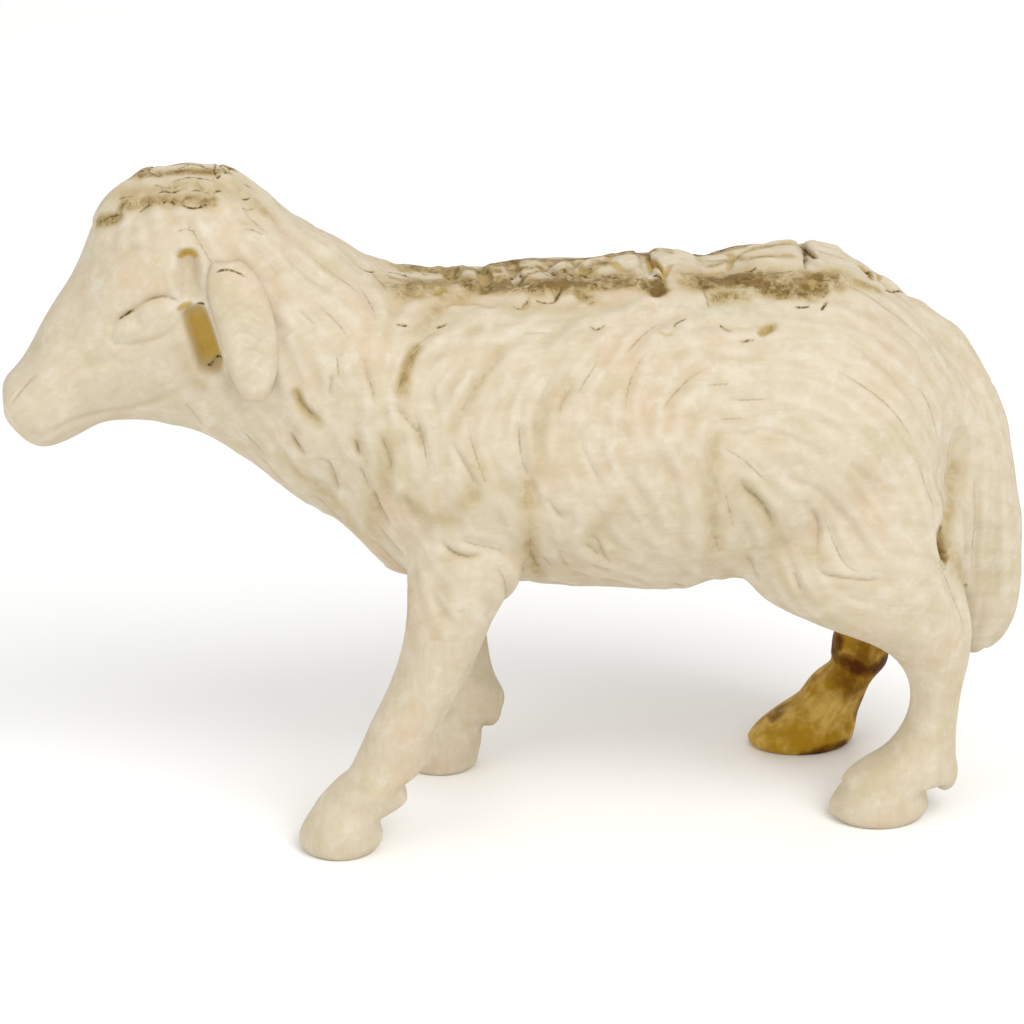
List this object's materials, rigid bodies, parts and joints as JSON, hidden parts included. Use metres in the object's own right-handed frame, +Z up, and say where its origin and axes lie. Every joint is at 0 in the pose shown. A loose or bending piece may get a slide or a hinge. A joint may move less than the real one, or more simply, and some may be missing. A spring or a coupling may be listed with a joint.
{
  "type": "sheep figurine",
  "caption": "Small carved wooden sheep in a walking pose, with head, ears, tail and legs dowelled and glued to the trunk; stands on its hooves as an ornament.",
  "frame": {"origin": "bottom centre of the figure's bounding box, on the plane that the hooves stand on", "axes": "+X along the body from the head to the tail, +Y from the sheep's left side to its right, +Z up"},
  "size_m": [0.1006, 0.033, 0.0668],
  "materials": {
    "pale_wood": "satin",
    "dark_wood": "satin",
    "dowel_wood": "matte"
  },
  "bodies": {
    "root": {"torso": "pale_wood", "head": "pale_wood", "left_ear": "pale_wood", "right_ear": "pale_wood", "tail": "pale_wood", "front_left_leg": "pale_wood", "front_right_leg": "pale_wood", "rear_left_leg": "pale_wood", "rear_right_leg": "dark_wood", "neck_dowel": "dowel_wood", "tail_dowel": "dowel_wood", "front_left_leg_dowel": "dowel_wood", "front_right_leg_dowel": "dowel_wood", "rear_left_leg_dowel": "dowel_wood", "rear_right_leg_dowel": "dowel_wood"}
  },
  "joints": []
}
